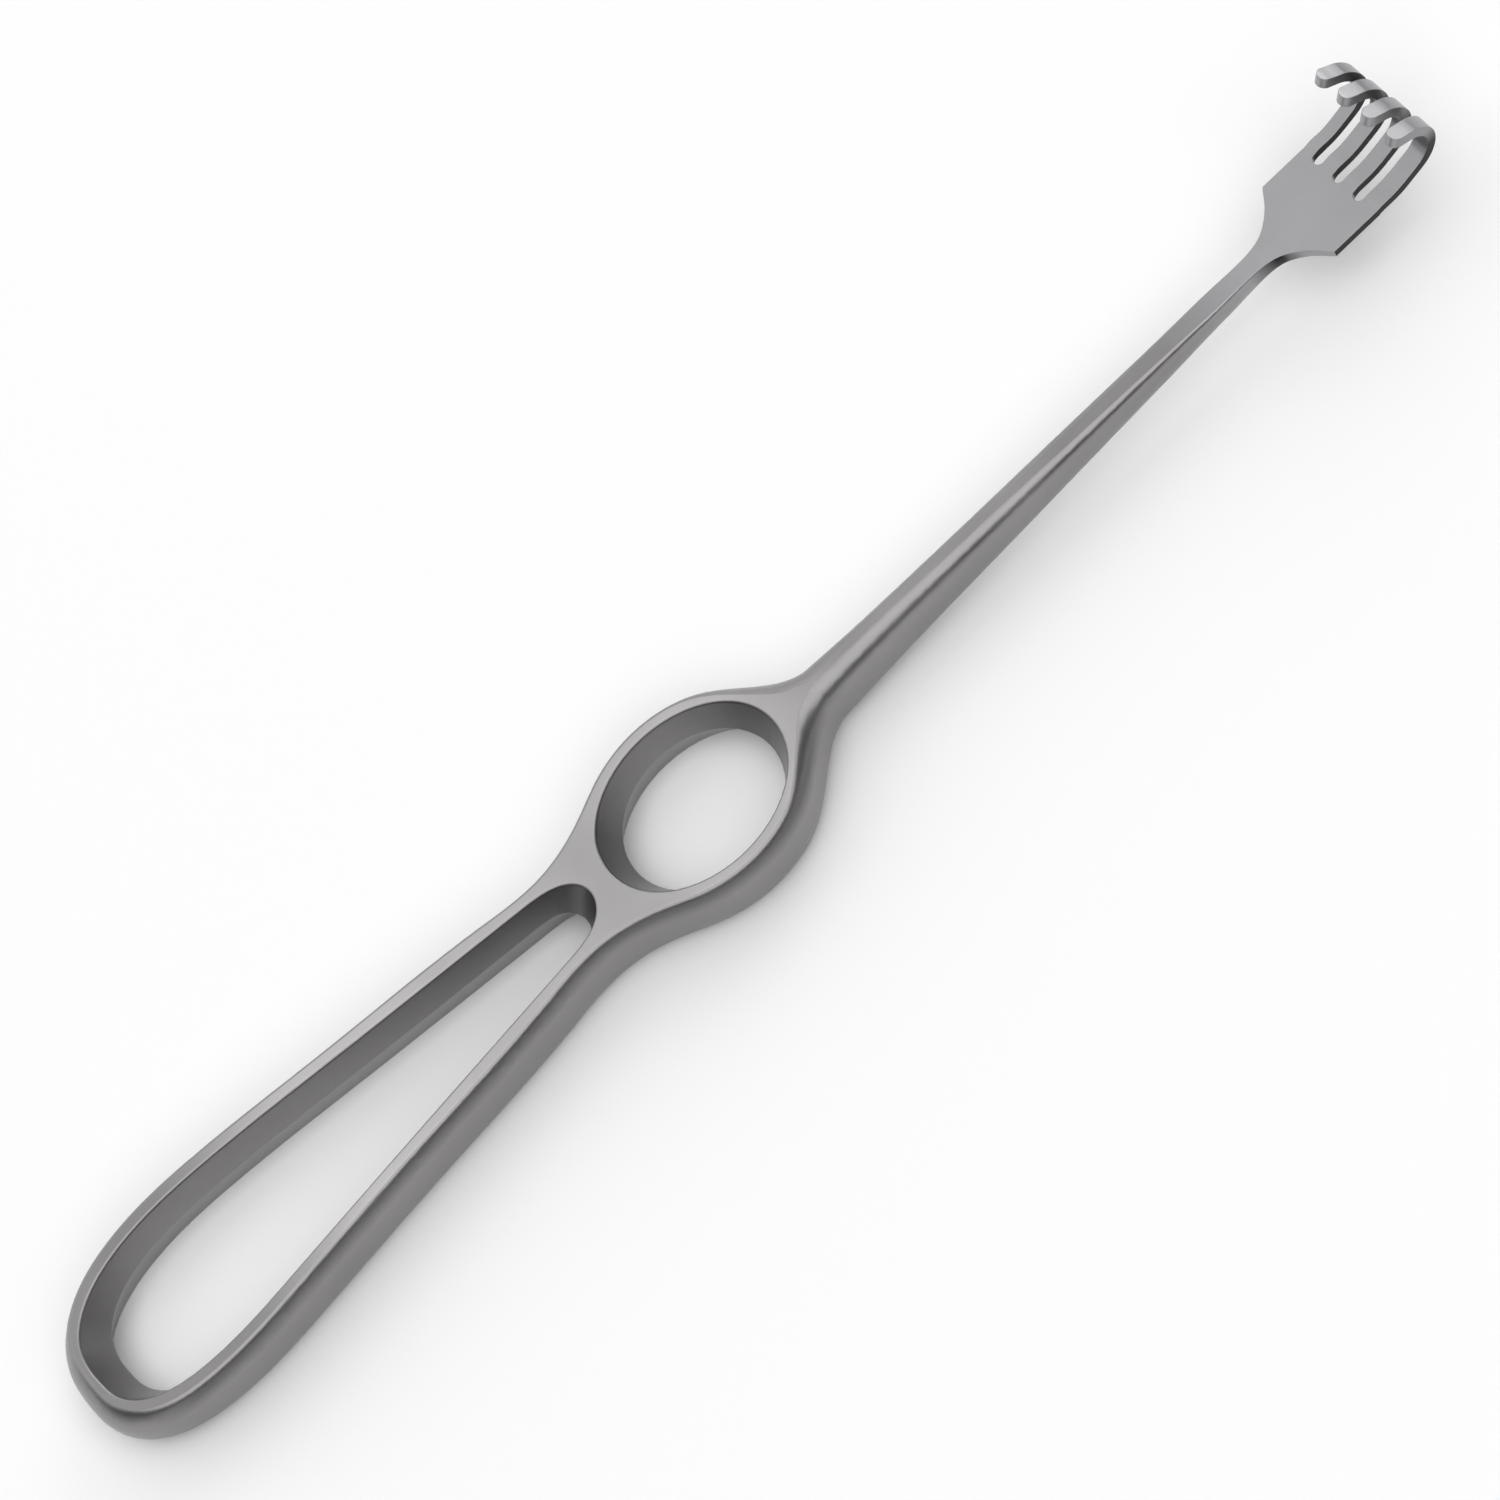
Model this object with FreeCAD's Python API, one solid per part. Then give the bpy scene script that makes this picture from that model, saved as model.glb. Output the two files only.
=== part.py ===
import FreeCAD, Part
import os
from math import acos, cos, pi, radians, sin, sqrt

V = FreeCAD.Vector

# Handheld surgical retractor, one forging in steel: an open loop handle, an oval finger ring,
# a slender shaft and a flat head cut into four prongs that are bent up into blunt hooks.
# X runs along the tool towards the prongs, Y across it, Z up from the flat back of the handle.
# The origin is under the middle of the length. Sizes are in millimetres, angles in degrees.

# Whole tool
OVERALL_LENGTH = 220.0
HANDLE_DEPTH = 9.0
EDGE_ROUNDING = 0.25

# Loop: the long opening, measured on the front face, and the bars round it
LOOP_OPENING_LENGTH = 82.7
LOOP_OPENING_WIDTH = 20.4
LOOP_ROUND_LENGTH = 18.5
LOOP_FULLNESS = 2.6
LOOP_TAPER_START = 8.0
LOOP_TAPER_DROP = 0.53
LOOP_NARROW_WIDTH = 9.4
LOOP_NARROW_ROUND = 7.15
LOOP_END_BAR = 3.35
LOOP_END_BULGE = 2.55
LOOP_END_LEAN = 1.85
LOOP_LEAN_LENGTH = 38.0
BAR_FACE = 1.55
BAR_BULGE = 1.15

# Outside walls: how late they curve in towards their edges, and how round those edges are,
# from 0 for an even bulge with a crisp edge to 1 for a fully rounded side
WALL_POWER = 2.5
BAR_ROUNDNESS = 0.3
LOOP_END_ROUNDNESS = 0.0

# Web between the loop and the ring, and the waist of the handle beside it
WEB_WIDTH = 3.2
WAIST_WIDTH = 14.5

# Finger ring: the oval opening, measured on the front face, and the bar round it
RING_OPENING_LENGTH = 26.65
RING_OPENING_WIDTH = 20.9
RING_BAR_FACE = 1.35

# Inside walls of both openings slope in to a ridge at half depth
RIDGE_AT_SIDES = 1.0
LOOP_RIDGE_AT_ENDS = 2.85
RING_RIDGE_AT_ENDS = 2.3

# Shaft: its edges are rounded over a share of its half width, less and less towards the head
THROAT_LENGTH = 6.4
SHAFT_ROOT_WIDTH = 5.15
SHAFT_ROOT_FLARE = 1.1
FLARE_SHARE = 0.3
FLARE_POWER = 2.6
SHAFT_END_WIDTH = 3.0
SHAFT_END_DEPTH = 2.5
TAPER_POWER = 1.2
ROUNDING_AT_ROOT = 0.93
ROUNDING_AT_HEAD = 0.15

# Head: the flat plate behind the prongs
SHOULDER_LENGTH = 7.5
PLATE_LENGTH = 7.0
PLATE_WIDTH = 13.15
PLATE_THICKNESS = 1.15

# Prongs: cut by slots, bent up in three arcs and ended in a blunt tongue, whose corners are
# rounded over a share of its half width
PRONG_COUNT = 4
SLOT_WIDTH = 1.6
SLOT_OFFSET = 0.4
RISE_RADIUS = 21.1
RISE_ANGLE = 21.0
BEND_RADIUS = 4.4
BEND_ANGLE = 65.6
CURL_RADIUS = 4.9
CURL_ANGLE = 151.0
TONGUE_LENGTH = 2.6
TIP_WIDTH = 2.1
TIP_THICKNESS = 1.43
TIP_ROUNDING = 0.92
TIP_SPLAY = 0.22

# Hand bending: each prong's rise and curl are larger than its +Y neighbour's by these shares of the mean
RISE_STEP = 0.02
CURL_STEP = 0.08


# Places along X, from the loop end to the furthest reach of the hooks
def arc_reach(radius, start, end):
    return radius * (sin(radians(end)) - sin(radians(start)))


def growth(index, step):
    """How much larger a bend of one prong is than the mean; prongs are counted from the -Y side."""
    return 1 + step * ((PRONG_COUNT - 1) / 2 - index)


HOOK_REACH = (
    arc_reach(RISE_RADIUS * growth(0, RISE_STEP), 0, RISE_ANGLE)
    + arc_reach(BEND_RADIUS, RISE_ANGLE, BEND_ANGLE)
    + arc_reach(CURL_RADIUS * growth(0, CURL_STEP), BEND_ANGLE, 90)
)
LOOP_END_X = -OVERALL_LENGTH / 2
OPENING_START_X = LOOP_END_X + LOOP_END_BAR
OPENING_WIDEST_X = OPENING_START_X + LOOP_ROUND_LENGTH
OPENING_END_X = OPENING_START_X + LOOP_OPENING_LENGTH
RING_START_X = OPENING_END_X + WEB_WIDTH
RING_CENTRE_X = RING_START_X + RING_OPENING_LENGTH / 2
SHAFT_START_X = RING_START_X + RING_OPENING_LENGTH + THROAT_LENGTH
PRONG_ROOT_X = OVERALL_LENGTH / 2 - HOOK_REACH
PLATE_START_X = PRONG_ROOT_X - PLATE_LENGTH
SHAFT_END_X = PLATE_START_X - SHOULDER_LENGTH
SHAFT_LENGTH = SHAFT_END_X - SHAFT_START_X
MIDDLE_Z = HANDLE_DEPTH / 2


# Heights of the sections through a wall, as shares of half its depth, closest together at its edges
def wall_levels():
    edge = EDGE_ROUNDING / MIDDLE_Z
    upper = [(1 - edge) * share for share in (0.0, 0.42, 0.79, 0.94)]
    upper += [1 - edge * share for share in (1.0, 0.6, 0.3, 0.08, 0.0)]
    return [-level for level in reversed(upper[1:])] + upper


LEVELS = wall_levels()


def lean(x):
    """Sideways shift of the loop end, which isn't quite symmetrical."""
    return -LOOP_END_LEAN * max(1 - (x - LOOP_END_X) / LOOP_LEAN_LENGTH, 0.0) ** 2


def wall_share(level, roundness):
    """How far a wall stands out at a level: a shallow bulge with a crisp edge, or a rounded side."""
    return max(1 - abs(level) ** WALL_POWER, 0.0) ** (1 - 0.5 * roundness)


def edge_inset(level):
    """How far the small rounding of a crisp edge draws the wall in at a level."""
    rest = max(EDGE_ROUNDING - (1 - abs(level)) * MIDDLE_Z, 0.0)
    return EDGE_ROUNDING - sqrt(EDGE_ROUNDING ** 2 - rest ** 2)


# Handle outline at half depth: x, half width, how far the wall bulges, how round its edge is
def loop_end_stations():
    widest = LOOP_OPENING_WIDTH / 2 + BAR_FACE + BAR_BULGE
    length = OPENING_WIDEST_X - LOOP_END_X
    power = 2 / LOOP_FULLNESS
    stations = []
    for angle in (0, 12, 25, 40, 56, 73, 90):
        along = cos(radians(angle)) ** power if angle < 90 else 0.0
        across = sin(radians(angle)) ** power
        bulge = BAR_BULGE + (LOOP_END_BULGE - BAR_BULGE) * along ** 4
        roundness = BAR_ROUNDNESS + (LOOP_END_ROUNDNESS - BAR_ROUNDNESS) * along
        stations.append((OPENING_WIDEST_X - length * along, widest * across, bulge, roundness))
    return stations


def bar_half_width(x):
    """Half width of the loop opening on its straight tapering stretch."""
    start = OPENING_WIDEST_X + LOOP_TAPER_START
    end = OPENING_END_X - LOOP_NARROW_ROUND
    wide = LOOP_OPENING_WIDTH / 2 - LOOP_TAPER_DROP
    return wide + (x - start) / (end - start) * (LOOP_NARROW_WIDTH / 2 - wide)


def handle_stations():
    """Stations from the loop end to the throat, where the bulging bar turns into the rounded shaft."""
    stations = loop_end_stations()
    narrow_x = OPENING_END_X - LOOP_NARROW_ROUND
    for share in (0.12, 0.5, 0.9):
        x = OPENING_WIDEST_X + share * (narrow_x - OPENING_WIDEST_X)
        stations.append((x, bar_half_width(x) + BAR_FACE + BAR_BULGE, BAR_BULGE, BAR_ROUNDNESS))
    stations.append((OPENING_END_X - WEB_WIDTH, WAIST_WIDTH / 2, BAR_BULGE, BAR_ROUNDNESS))
    ring_half = RING_OPENING_WIDTH / 2 + RING_BAR_FACE + BAR_BULGE
    root_half, root_rounding = shaft_station(0.0)[1:3]
    length = RING_OPENING_LENGTH / 2
    for along, across, turned in (
        (-0.93, 0.716, 0.0),
        (-0.6, 0.874, 0.0),
        (0.03, 1.0, 0.0),
        (0.34, 0.963, 0.05),
        (0.67, 0.837, 0.15),
        (1.03, 0.545, 0.4),
    ):
        bulge, roundness = turned_wall(turned, root_rounding)
        stations.append((RING_CENTRE_X + along * length, across * ring_half, bulge, roundness))
    for share, swell, turned in ((0.44, 0.6, 0.65), (0.72, 0.23, 0.85)):
        x = RING_START_X + RING_OPENING_LENGTH + share * THROAT_LENGTH
        bulge, roundness = turned_wall(turned, root_rounding)
        stations.append((x, root_half * (1 + swell), bulge, roundness))
    return stations


def turned_wall(turned, root_rounding):
    """Bulge and roundness of a wall that has turned by a share from the bar's to the shaft's."""
    bulge = BAR_BULGE + (root_rounding - BAR_BULGE) * turned
    return bulge, BAR_ROUNDNESS + (1 - BAR_ROUNDNESS) * turned


# Shaft: half width, rounding of its edges and depth at a share of its length
def tapered(start, end, share):
    return start + (end - start) * share ** TAPER_POWER


def shaft_station(share):
    flare = SHAFT_ROOT_FLARE * max(1 - share / FLARE_SHARE, 0.0) ** FLARE_POWER
    half = (tapered(SHAFT_ROOT_WIDTH, SHAFT_END_WIDTH, share) + flare) / 2
    rounding = half * (ROUNDING_AT_ROOT + (ROUNDING_AT_HEAD - ROUNDING_AT_ROOT) * share * share)
    depth = tapered(HANDLE_DEPTH, SHAFT_END_DEPTH, share)
    return SHAFT_START_X + share * SHAFT_LENGTH, half, rounding, depth


def section_wire(x, half, rounding, depth):
    """Closed section across the shaft: flat top and bottom, rounded walls, top at the front face."""
    middle = HANDLE_DEPTH - depth / 2
    wall = []
    for level in LEVELS:
        y = half - rounding * (1 - wall_share(level, 1.0))
        wall.append(V(x, y, middle + level * depth / 2))
    other = [V(p.x, -p.y, p.z) for p in reversed(wall)]
    parameters = [1 - acos(level) / pi for level in LEVELS]
    edges = []
    for points in (wall, other):
        curve = Part.BSplineCurve()
        curve.interpolate(Points=points, Parameters=parameters)
        edges.append(curve.toShape())
    top = Part.makeLine(wall[-1], other[0])
    bottom = Part.makeLine(other[-1], wall[0])
    return Part.Wire([edges[0], top, edges[1], bottom])


def outline_curve(points):
    curve = Part.BSplineCurve()
    curve.interpolate(Points=points)
    return curve


def handle_level_points(level, stations, normals):
    """Points of the outer outline at one level, from the shaft's start on the -Y side round the loop."""
    z = MIDDLE_Z + level * HANDLE_DEPTH / 2
    side = []
    for (x, half, bulge, roundness), normal in zip(stations, normals):
        inset = bulge * (1 - wall_share(level, roundness)) + edge_inset(level) * (1 - roundness)
        side.append((x - normal.x * inset, half - normal.y * inset))
    upper = [V(x, y + lean(x), z) for x, y in side]
    lower = [V(x, -y + lean(x), z) for x, y in side[1:]]
    return list(reversed(lower)) + upper


def handle_blank():
    """The handle before its openings are cut, and the closed section where the shaft takes over."""
    stations = handle_stations()
    for share in (0.0, 0.03):
        x, half, rounding, depth = shaft_station(share)
        stations.append((x, half, rounding, 1.0))
    side = [V(x, half, 0) for x, half, bulge, roundness in stations]
    mirrored = [V(p.x, -p.y, 0) for p in reversed(side[1:])]
    outline = outline_curve(mirrored + side)
    normals = []
    for point in side:
        tangent = outline.tangent(outline.parameter(point))[0]
        normals.append(V(-tangent.y, tangent.x, 0))
    normals[-1] = normals[-2] = V(0, 1, 0)
    points = mirrored + side
    lengths = [0.0]
    for before, after in zip(points, points[1:]):
        lengths.append(lengths[-1] + before.distanceToPoint(after))
    wires = []
    for level in LEVELS:
        curve = Part.BSplineCurve()
        curve.interpolate(Points=handle_level_points(level, stations, normals), Parameters=lengths)
        curve.segment(lengths[1], lengths[-2])
        edge = curve.toShape()
        ends = curve.value(lengths[1]), curve.value(lengths[-2])
        wires.append(Part.Wire([edge, Part.makeLine(ends[1], ends[0])]))
    return Part.makeLoft(wires, True, False)


def closed_curve(points):
    curve = Part.BSplineCurve()
    curve.interpolate(Points=points, PeriodicFlag=True)
    return Part.Wire([curve.toShape()])


def opening_cutter(outline):
    """Cuts through the handle: outline(inset, z) is the opening's edge, drawn in by a share of the ridge."""
    over = 0.25
    ridge = outline(1.0, MIDDLE_Z)
    top = outline(-over, HANDLE_DEPTH + over * MIDDLE_Z)
    bottom = outline(-over, -over * MIDDLE_Z)
    return Part.makeLoft([ridge, top], True, True).fuse(Part.makeLoft([bottom, ridge], True, True))


def loop_opening(inset, z):
    ends = inset * LOOP_RIDGE_AT_ENDS
    sides = inset * RIDGE_AT_SIDES
    start = OPENING_START_X + ends
    end = OPENING_END_X - ends
    power = 2 / LOOP_FULLNESS
    half = LOOP_OPENING_WIDTH / 2 - sides
    side = []
    for angle in (0, 12, 25, 40, 56, 73, 90):
        along = cos(radians(angle)) ** power if angle < 90 else 0.0
        x = OPENING_WIDEST_X - (OPENING_WIDEST_X - start) * along
        side.append((x, half * sin(radians(angle)) ** power))
    narrow_x = OPENING_END_X - LOOP_NARROW_ROUND
    for share in (0.12, 0.5, 0.9):
        x = OPENING_WIDEST_X + share * (narrow_x - OPENING_WIDEST_X)
        side.append((x, bar_half_width(x) - sides))
    narrow = bar_half_width(narrow_x) - sides
    for angle in (90, 55, 25, 0):
        x = narrow_x + (end - narrow_x) * cos(radians(angle))
        side.append((x, narrow * sin(radians(angle))))
    side[-1] = (end, 0.0)
    upper = [V(x, y + lean(x), z) for x, y in side]
    lower = [V(x, -y + lean(x), z) for x, y in reversed(side[1:-1])]
    return closed_curve(upper + lower)


def ring_opening(inset, z):
    length = RING_OPENING_LENGTH / 2 - inset * RING_RIDGE_AT_ENDS
    width = RING_OPENING_WIDTH / 2 - inset * RIDGE_AT_SIDES
    oval = Part.Ellipse(V(RING_CENTRE_X, 0, z), length, width)
    return Part.Wire([oval.toShape()])


def end_section(blank):
    """The flat end face of the handle, where the shaft starts."""
    for face in blank.Faces:
        box = face.BoundBox
        if box.XLength < 0.001 and abs(box.XMin - SHAFT_START_X) < 0.001:
            return face.OuterWire
    raise ValueError("the handle has no flat end")


def shaft(start_wire):
    wires = [start_wire]
    for share in (0.03, 0.08, 0.17, 0.33, 0.5, 0.67, 0.83, 0.94, 1.0):
        wires.append(section_wire(*shaft_station(share)))
    half, rounding, depth = shaft_station(1.0)[1:]
    for share, spread in ((0.3, 0.07), (0.53, 0.24), (0.69, 0.43), (0.85, 0.7), (1.0, 1.0)):
        wires.append(
            section_wire(
                SHAFT_END_X + share * SHOULDER_LENGTH,
                half + spread * (PLATE_WIDTH / 2 - half),
                rounding * (1 - share) ** 1.5,
                depth + (PLATE_THICKNESS - depth) * share,
            )
        )
    return Part.makeLoft(wires, True, False)


def plate():
    bottom = HANDLE_DEPTH - PLATE_THICKNESS
    body = Part.makeBox(
        PLATE_LENGTH, PLATE_WIDTH, PLATE_THICKNESS, V(PLATE_START_X, -PLATE_WIDTH / 2, bottom)
    )
    for index in range(PRONG_COUNT - 1):
        start = V(PRONG_ROOT_X, slot_middle(index), bottom - PLATE_THICKNESS)
        body = body.cut(Part.makeCylinder(SLOT_WIDTH / 2, 3 * PLATE_THICKNESS, start))
    return body


def slot_middle(index):
    """Place across the plate of the slot between one prong and the next on its +Y side."""
    pitch = (PLATE_WIDTH + SLOT_WIDTH) / PRONG_COUNT
    return SLOT_OFFSET + (index + 1 - PRONG_COUNT / 2) * pitch


def prong_sides(index):
    """The two edges of a prong at its root; the outer prongs reach to the plate's sides."""
    low = -PLATE_WIDTH / 2
    high = PLATE_WIDTH / 2
    if index > 0:
        low = slot_middle(index - 1) + SLOT_WIDTH / 2
    if index < PRONG_COUNT - 1:
        high = slot_middle(index) - SLOT_WIDTH / 2
    return low, high


def hook_path(index):
    """Stations along the outside of a hook, from its root to its tip: x, z and heading."""
    x, z = PRONG_ROOT_X, HANDLE_DEPTH - PLATE_THICKNESS
    stations = [(x, z, 0.0)]
    heading = 0.0
    for radius, end, steps in (
        (RISE_RADIUS * growth(index, RISE_STEP), RISE_ANGLE, 3),
        (BEND_RADIUS, BEND_ANGLE, 4),
        (CURL_RADIUS * growth(index, CURL_STEP), CURL_ANGLE, 8),
    ):
        turn = (end - heading) / steps
        for step in range(steps):
            before, heading = heading, heading + turn
            x += radius * (sin(radians(heading)) - sin(radians(before)))
            z += radius * (cos(radians(before)) - cos(radians(heading)))
            stations.append((x, z, heading))
    for step in range(2):
        x += TONGUE_LENGTH / 2 * cos(radians(heading))
        z += TONGUE_LENGTH / 2 * sin(radians(heading))
        stations.append((x, z, heading))
    return stations


def prong(index):
    """One prong as a strip that follows the hook's path and leans a little outwards as it rises."""
    low, high = prong_sides(index)
    middle = (low + high) / 2
    path = hook_path(index)
    start_z = path[0][1]
    rise = path[-1][1] - start_z
    wires = []
    for x, z, heading in path:
        share = (z - start_z) / rise
        y = middle * (1 + TIP_SPLAY * share * share)
        half = (high - low) / 2 * (1 - share) + TIP_WIDTH / 2 * share
        thickness = PLATE_THICKNESS + (TIP_THICKNESS - PLATE_THICKNESS) * share
        inward = V(-sin(radians(heading)), 0, cos(radians(heading))) * thickness
        outer = [V(x, y - half, z), V(x, y + half, z)]
        corners = outer + [outer[1] + inward, outer[0] + inward, outer[0]]
        wires.append(Part.makePolygon(corners))
    strip = Part.makeLoft(wires, True, False)
    return round_tip(strip, path[-1])


def round_tip(strip, tip):
    """Rounds the free end of a prong across its width, almost to a half circle."""
    corners = []
    for edge in strip.Edges:
        ends = [vertex.Point for vertex in edge.Vertexes]
        near = all(V(p.x - tip[0], 0, p.z - tip[1]).Length < TIP_THICKNESS * 1.05 for p in ends)
        if near and abs(ends[0].y - ends[-1].y) < TIP_WIDTH / 4:
            corners.append(edge)
    return strip.makeFillet(TIP_WIDTH / 2 * TIP_ROUNDING, corners)


def handle(blank):
    """The blank with its two openings cut and their front and back edges rounded."""
    body = blank.cut(opening_cutter(loop_opening)).cut(opening_cutter(ring_opening))
    rims = []
    for edge in body.Edges:
        middle = (edge.BoundBox.ZMin + edge.BoundBox.ZMax) / 2
        if edge.isClosed() and abs(middle - MIDDLE_Z) > MIDDLE_Z * 0.9:
            rims.append(edge)
    return body.makeFillet(EDGE_ROUNDING, rims)


def retractor():
    blank = handle_blank()
    pieces = [shaft(end_section(blank)), plate()]
    pieces += [prong(index) for index in range(PRONG_COUNT)]
    return handle(blank).fuse(pieces).removeSplitter()


os.makedirs("parts", exist_ok=True)
body = retractor()
body.exportStep("parts/retractor.step")
print("solids", len(body.Solids), "valid", body.isValid(), "volume", round(body.Volume))
print("box", body.BoundBox)
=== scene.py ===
import math

import bpy
from mathutils import Matrix, Vector


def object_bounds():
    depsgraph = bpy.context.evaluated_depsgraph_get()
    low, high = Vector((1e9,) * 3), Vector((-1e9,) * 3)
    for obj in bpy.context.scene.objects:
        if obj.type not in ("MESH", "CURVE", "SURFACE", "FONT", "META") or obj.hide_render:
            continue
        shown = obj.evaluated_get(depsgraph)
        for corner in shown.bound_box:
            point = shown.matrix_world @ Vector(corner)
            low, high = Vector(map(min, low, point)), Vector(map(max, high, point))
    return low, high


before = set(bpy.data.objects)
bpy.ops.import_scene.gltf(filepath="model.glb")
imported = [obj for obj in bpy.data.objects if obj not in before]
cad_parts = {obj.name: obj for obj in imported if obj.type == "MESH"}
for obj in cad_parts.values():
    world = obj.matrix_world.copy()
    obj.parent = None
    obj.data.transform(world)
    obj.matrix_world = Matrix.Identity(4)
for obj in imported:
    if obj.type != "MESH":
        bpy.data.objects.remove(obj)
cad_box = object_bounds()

# Handheld surgical retractor in satin steel, lying face up on a pale studio floor.
# Lengths are in metres and angles in degrees; X runs along the tool and Z is up.
TOOL_START = cad_box[0][0]
TOOL_END = cad_box[1][0]

# Camera, as in the photograph: it leans back from straight above and is rolled.
# The lens and the sensor are in millimetres.
CAMERA_TARGET = Vector((0.0, 0.0, 0.009))
CAMERA_TILT = 29.02
CAMERA_YAW = -0.42
CAMERA_ROLL = 43.52
CAMERA_DISTANCE = 0.6404
CAMERA_SIDESTEP = 0.00166
CAMERA_RAISE = 0.00037
CAMERA_LENS = 129.0
SENSOR_WIDTH = 36.0
NEAREST_SEEN = 0.01
FARTHEST_SEEN = 20.0

# Colours of the steel: the walls, the flattened head, a painted highlight on corners, painted
# shade in a band under the front edge of the handle's walls and on the sides of the slots and
# prongs
STEEL_COLOUR = (0.29, 0.282, 0.286, 1.0)
HEAD_COLOUR = (0.355, 0.35, 0.361, 1.0)
CORNER_HIGHLIGHT_COLOUR = (0.33, 0.322, 0.326, 1.0)
SHADE_BAND_COLOUR = (0.165, 0.161, 0.163, 1.0)
SLOT_SHADE_COLOUR = (0.022, 0.021, 0.022, 1.0)

# Front face: its tint, and how light it is at places along X: a painted reflection of the
# lamps, brightest from the loop's middle to the throat.
FACE_TINT = (1.0, 0.975, 0.985)
FACE_PAINTED_REFLECTION = (
    (-0.09, 0.26),
    (-0.064, 0.49),
    (-0.032, 0.43),
    (-0.022, 0.38),
    (-0.013, 0.44),
    (0.0, 0.44),
    (0.02, 0.285),
    (0.06, 0.25),
)

# Mottling of the tone, and roughness with its own mottling and the brush marks in it
TONE_SPREAD = 0.12
STEEL_ROUGHNESS = 0.34
ROUGHNESS_SPREAD = 0.07
BRUSH_ROUGHNESS = 0.03

# Spans along X, and for the last one upward, over which one finish or painted light or shade
# gives way to the next
HEAD_BLEND = (0.07, 0.083)
CORNERS_SHARPEN = (0.04, 0.07)
BAND_BEGINS = (-0.106, -0.098)
BAND_ENDS = (0.006, 0.016)
SLOT_SHADE_BEGINS = (0.083, 0.087)
SLOT_SHADE_FADES = (0.0125, 0.0155)

# Share of the painted slot shade that is left on the hooks, above the height where it fades
SLOT_SHADE_ON_HOOKS = 0.25

# Spans of the upward or sideways part of a surface's normal that tell the surfaces apart, and
# of the cosine between the softened normal and the plain one that tells corners
FACE_UPWARD = (0.985, 0.998)
BAND_UPWARD = (0.16, 0.4)
PAST_BAND_UPWARD = (0.48, 0.62)
SLOT_SHADE_SIDEWAYS = (0.75, 0.9)
CORNER_COSINE = (0.93, 0.995)

# Texture: sizes and detail of the mottling, the blasted grain and the brush marks, and the
# strength and depth of the last two
MOTTLE_SIZE = 0.014
MOTTLE_DETAIL = 3.0
BLAST_GRAIN = 0.00022
BRUSH_LENGTH = 0.009
BRUSH_WIDTH = 0.00012
FINE_DETAIL = 2.0
NOISE_SPAN = (0.3, 0.7)
BLAST_RELIEF = (0.25, 0.00003)
BRUSH_RELIEF = (0.12, 0.00002)

# How far the shading softens corners
CORNER_RADIUS = 0.00045
HEAD_CORNER_RADIUS = 0.00009
CORNER_SAMPLES = 8

# Studio: a sheet of paper, a pale world, and area lights with their name, place, target,
# width, height and watts
FLOOR_SIZE = 6.0
FLOOR_COLOUR = (0.94, 0.94, 0.94, 1.0)
FLOOR_ROUGHNESS = 0.9
FLOOR_SHINE = 0.1
WORLD_COLOUR = (0.9, 0.9, 0.9, 1.0)
WORLD_STRENGTH = 0.15
LIGHTS = (
    ("softbox_above", (0.0, -0.7, 1.75), (0.0, 0.0, 0.0), 2.8, 2.7, 36.0),
    ("fill_behind", (0.0, 1.45, 1.15), (0.0, 0.0, 0.0), 6.5, 2.6, 49.0),
    ("softbox_at_head", (1.6, 1.0, 0.9), (0.1, 0.0, 0.015), 1.3, 0.9, 5.0),
)


# Camera
def camera_axes():
    """Right, up and backward directions of the camera."""
    tilt, yaw, roll = (math.radians(a) for a in (CAMERA_TILT, CAMERA_YAW, CAMERA_ROLL))
    sideways = -math.sin(yaw) * math.cos(tilt)
    back = Vector((sideways, -math.sin(tilt), math.cos(tilt) * math.cos(yaw))).normalized()
    level = Vector((1, 0, 0))
    level = (level - back * level.dot(back)).normalized()
    rise = back.cross(level)
    right = math.cos(roll) * level - math.sin(roll) * rise
    up = math.sin(roll) * level + math.cos(roll) * rise
    return right, up, back


def add_camera():
    right, up, back = camera_axes()
    data = bpy.data.cameras.new("camera")
    data.lens = CAMERA_LENS
    data.sensor_width = SENSOR_WIDTH
    data.sensor_fit = "HORIZONTAL"
    data.clip_start = NEAREST_SEEN
    data.clip_end = FARTHEST_SEEN
    camera = bpy.data.objects.new("camera", data)
    bpy.context.scene.collection.objects.link(camera)
    place = CAMERA_TARGET + back * CAMERA_DISTANCE + right * CAMERA_SIDESTEP + up * CAMERA_RAISE
    turn = Matrix((right, up, back)).transposed().to_4x4()
    camera.matrix_world = Matrix.Translation(place) @ turn
    bpy.context.scene.camera = camera


def new_material(name):
    """A material with its main shader."""
    material = bpy.data.materials.new(name)
    material.use_nodes = True
    return material, material.node_tree.nodes["Principled BSDF"]


# Nodes: each function adds to a material's tree and gives back an output
def noise(tree, coordinates, size, detail, stretch=None):
    """Noise whose features are about size across, drawn out to a length of stretch along X."""
    mapping = tree.nodes.new("ShaderNodeMapping")
    mapping.inputs["Scale"].default_value = (1.0 / (stretch or size), 1.0 / size, 1.0 / size)
    texture = tree.nodes.new("ShaderNodeTexNoise")
    texture.inputs["Scale"].default_value = 1.0
    texture.inputs["Detail"].default_value = detail
    tree.links.new(coordinates, mapping.inputs["Vector"])
    tree.links.new(mapping.outputs["Vector"], texture.inputs["Vector"])
    return texture.outputs["Fac"]


def map_range(tree, value, span, low=0.0, high=1.0):
    """Goes from low to high while the value crosses the span, and stays there outside it."""
    node = tree.nodes.new("ShaderNodeMapRange")
    node.inputs["From Min"].default_value = span[0]
    node.inputs["From Max"].default_value = span[1]
    node.inputs["To Min"].default_value = low
    node.inputs["To Max"].default_value = high
    tree.links.new(value, node.inputs["Value"])
    return node.outputs["Result"]


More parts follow.
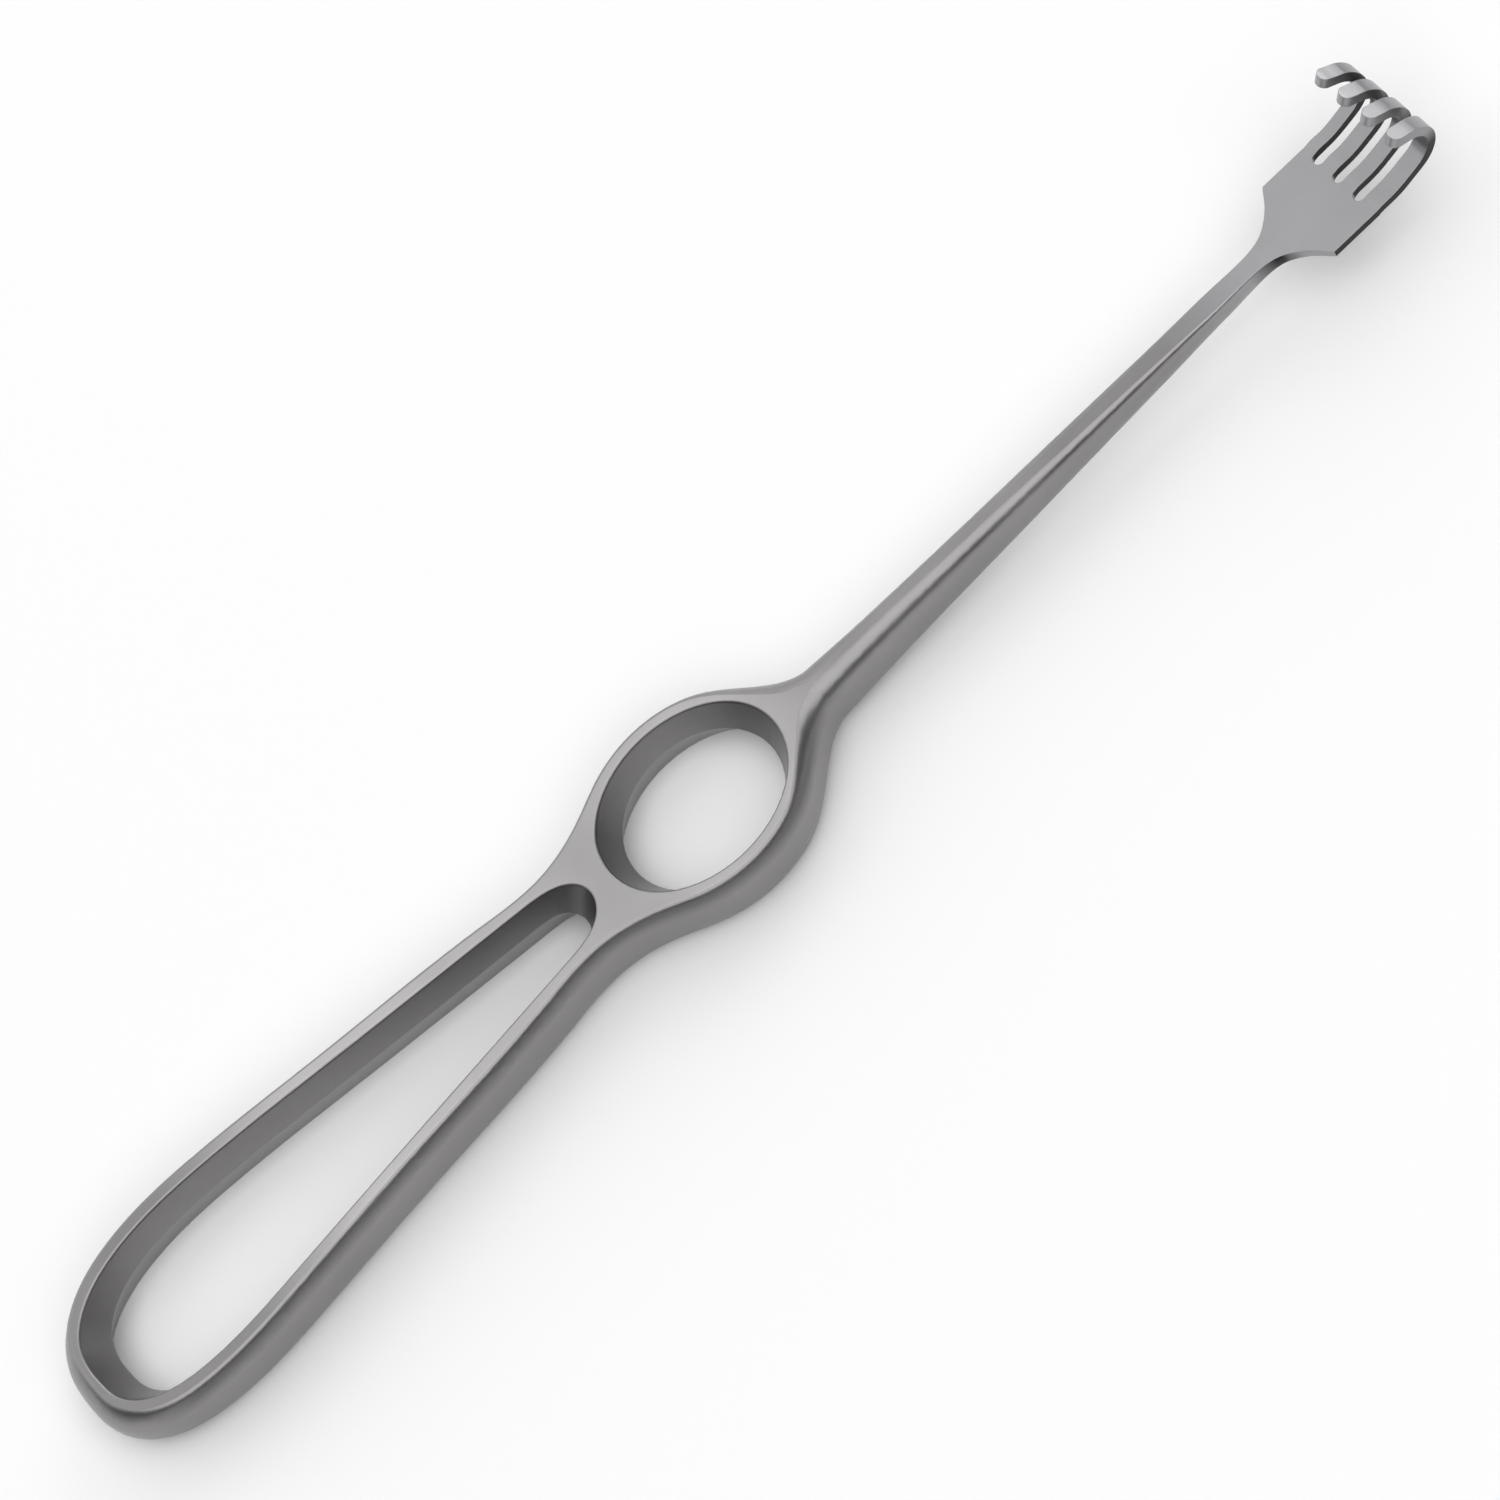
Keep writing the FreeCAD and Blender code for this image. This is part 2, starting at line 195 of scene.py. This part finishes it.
def maths(tree, operation, *values):
    node = tree.nodes.new("ShaderNodeMath")
    node.operation = operation
    for value, socket in zip(values, node.inputs):
        tree.links.new(value, socket)
    return node.outputs["Value"]


def product(tree, *masks):
    whole = masks[0]
    for mask in masks[1:]:
        whole = maths(tree, "MULTIPLY", whole, mask)
    return whole


def mix_colour(tree, factor, first, second):
    """Mixes two colours, each a fixed colour or another node's output, by a factor."""
    node = tree.nodes.new("ShaderNodeMix")
    node.data_type = "RGBA"
    tree.links.new(factor, node.inputs["Factor"])
    for socket, colour in ((node.inputs["A"], first), (node.inputs["B"], second)):
        if isinstance(colour, tuple):
            socket.default_value = colour
        else:
            tree.links.new(colour, socket)
    return node.outputs["Result"]


def vary(tree, colour, value):
    """Lightens or darkens a colour by a value round 1."""
    node = tree.nodes.new("ShaderNodeHueSaturation")
    tree.links.new(colour, node.inputs["Color"])
    tree.links.new(value, node.inputs["Value"])
    return node.outputs["Color"]


def relief(tree, height, strength, depth, normal):
    """Tilts a normal as a rough surface of that height would."""
    node = tree.nodes.new("ShaderNodeBump")
    node.inputs["Strength"].default_value = strength
    node.inputs["Distance"].default_value = depth
    tree.links.new(height, node.inputs["Height"])
    tree.links.new(normal, node.inputs["Normal"])
    return node.outputs["Normal"]


def surface_part(tree, output, axis):
    """One coordinate of the surface's position or normal."""
    geometry = tree.nodes.new("ShaderNodeNewGeometry")
    split = tree.nodes.new("ShaderNodeSeparateXYZ")
    tree.links.new(geometry.outputs[output], split.inputs["Vector"])
    return split.outputs[axis]


def softened_normal(tree):
    """Normal rounded over corners, more on the handle and the shaft than on the head."""
    node = tree.nodes.new("ShaderNodeBevel")
    node.samples = CORNER_SAMPLES
    x = surface_part(tree, "Position", "X")
    radius = map_range(tree, x, CORNERS_SHARPEN, CORNER_RADIUS, HEAD_CORNER_RADIUS)
    tree.links.new(radius, node.inputs["Radius"])
    return node.outputs["Normal"]


# Finishes of the steel and the painted light and shade on it: each mask is 1 where it lies and
# 0 elsewhere
def corner_highlight_mask(tree, softened):
    """Corners, where the softened normal turns away from the plain one; they get a painted
    highlight.
    """
    geometry = tree.nodes.new("ShaderNodeNewGeometry")
    dot = tree.nodes.new("ShaderNodeVectorMath")
    dot.operation = "DOT_PRODUCT"
    tree.links.new(softened, dot.inputs[0])
    tree.links.new(geometry.outputs["Normal"], dot.inputs[1])
    return map_range(tree, dot.outputs["Value"], CORNER_COSINE, 1.0, 0.0)


def shade_band_mask(tree):
    """Painted shade: the dark band that runs along the handle's walls under the front edge."""
    x = surface_part(tree, "Position", "X")
    z = surface_part(tree, "Normal", "Z")
    return product(
        tree,
        map_range(tree, z, BAND_UPWARD),
        map_range(tree, z, PAST_BAND_UPWARD, 1.0, 0.0),
        map_range(tree, x, BAND_BEGINS),
        map_range(tree, x, BAND_ENDS, 1.0, 0.0),
    )


def face_mask(tree):
    """The flat front face."""
    return map_range(tree, surface_part(tree, "True Normal", "Z"), FACE_UPWARD)


def face_painted_reflection(tree):
    """Colour of the front face, with a painted reflection that is lighter or darker along the
    tool.
    """
    ramp = tree.nodes.new("ShaderNodeValToRGB")
    ramp.color_ramp.interpolation = "EASE"
    stops = ramp.color_ramp.elements
    while len(stops) < len(FACE_PAINTED_REFLECTION):
        stops.new(0.5)
    for stop, (x, tone) in zip(stops, FACE_PAINTED_REFLECTION):
        stop.position = (x - TOOL_START) / (TOOL_END - TOOL_START)
        stop.color = (*(tone * tint for tint in FACE_TINT), 1.0)
    along = map_range(tree, surface_part(tree, "Position", "X"), (TOOL_START, TOOL_END))
    tree.links.new(along, ramp.inputs["Fac"])
    return ramp.outputs["Color"]


def head_mask(tree):
    """The flattened and polished head, which the shoulders lead up to."""
    return map_range(tree, surface_part(tree, "Position", "X"), HEAD_BLEND)


def slot_shade_mask(tree):
    """Painted shade on the side faces of the plate and of the slots, fading to a share on the
    hooks.
    """
    sideways = maths(tree, "ABSOLUTE", surface_part(tree, "Normal", "Y"))
    x = surface_part(tree, "Position", "X")
    z = surface_part(tree, "Position", "Z")
    return product(
        tree,
        map_range(tree, sideways, SLOT_SHADE_SIDEWAYS),
        map_range(tree, x, SLOT_SHADE_BEGINS),
        map_range(tree, z, SLOT_SHADE_FADES, 1.0, SLOT_SHADE_ON_HOOKS),
    )


def satin_steel():
    """Blasted and lightly brushed stainless steel, with painted highlights, reflection and
    shade in its colour.
    """
    material, shader = new_material("satin_steel")
    tree = material.node_tree
    coordinates = tree.nodes.new("ShaderNodeTexCoord").outputs["Object"]
    mottle = noise(tree, coordinates, MOTTLE_SIZE, MOTTLE_DETAIL)
    grain = noise(tree, coordinates, BLAST_GRAIN, FINE_DETAIL)
    brush = noise(tree, coordinates, BRUSH_WIDTH, FINE_DETAIL, BRUSH_LENGTH)
    softened = softened_normal(tree)

    # Painted highlight along the corners
    shade = mix_colour(tree, corner_highlight_mask(tree, softened), STEEL_COLOUR, CORNER_HIGHLIGHT_COLOUR)
    # Painted shade: a dark band on the walls under the front edge
    shade = mix_colour(tree, shade_band_mask(tree), shade, SHADE_BAND_COLOUR)
    # Painted reflection on the front face, lighter or darker along X
    shade = mix_colour(tree, face_mask(tree), shade, face_painted_reflection(tree))
    shade = mix_colour(tree, head_mask(tree), shade, HEAD_COLOUR)
    # Painted shade on the side faces of the plate, the slots and the hooks
    shade = mix_colour(tree, slot_shade_mask(tree), shade, SLOT_SHADE_COLOUR)
    tone = map_range(tree, mottle, NOISE_SPAN, 1 - TONE_SPREAD / 2, 1 + TONE_SPREAD / 2)
    tree.links.new(vary(tree, shade, tone), shader.inputs["Base Color"])

    smoothest = STEEL_ROUGHNESS - ROUGHNESS_SPREAD / 2
    roughest = STEEL_ROUGHNESS + ROUGHNESS_SPREAD / 2
    mottled = map_range(tree, mottle, NOISE_SPAN, smoothest, roughest)
    brushed = map_range(tree, brush, NOISE_SPAN, -BRUSH_ROUGHNESS, BRUSH_ROUGHNESS)
    tree.links.new(maths(tree, "ADD", mottled, brushed), shader.inputs["Roughness"])

    blasted = relief(tree, grain, *BLAST_RELIEF, softened)
    tree.links.new(relief(tree, brush, *BRUSH_RELIEF, blasted), shader.inputs["Normal"])
    shader.inputs["Metallic"].default_value = 1.0
    return material


# Studio
def floor_paper():
    material, shader = new_material("floor_paper")
    shader.inputs["Base Color"].default_value = FLOOR_COLOUR
    shader.inputs["Roughness"].default_value = FLOOR_ROUGHNESS
    shader.inputs["Specular IOR Level"].default_value = FLOOR_SHINE
    return material


def add_floor():
    half = FLOOR_SIZE / 2
    corners = [(-half, -half, 0), (half, -half, 0), (half, half, 0), (-half, half, 0)]
    mesh = bpy.data.meshes.new("floor")
    mesh.from_pydata(corners, [], [(0, 1, 2, 3)])
    mesh.update()
    mesh.materials.append(floor_paper())
    floor = bpy.data.objects.new("floor", mesh)
    bpy.context.scene.collection.objects.link(floor)


def add_light(name, place, target, width, height, watts):
    data = bpy.data.lights.new(name, "AREA")
    data.shape = "RECTANGLE"
    data.size = width
    data.size_y = height
    data.energy = watts
    light = bpy.data.objects.new(name, data)
    bpy.context.scene.collection.objects.link(light)
    light.location = Vector(place)
    light.rotation_euler = (Vector(target) - Vector(place)).to_track_quat("-Z", "Y").to_euler()


def add_world():
    world = bpy.data.worlds.new("studio")
    world.use_nodes = True
    background = world.node_tree.nodes["Background"]
    background.inputs["Color"].default_value = WORLD_COLOUR
    background.inputs["Strength"].default_value = WORLD_STRENGTH
    bpy.context.scene.world = world


steel = satin_steel()
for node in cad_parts.values():
    node.data.materials.clear()
    node.data.materials.append(steel)

add_camera()
add_floor()
for light in LIGHTS:
    add_light(*light)
add_world()
bpy.context.scene.view_settings.view_transform = "Standard"
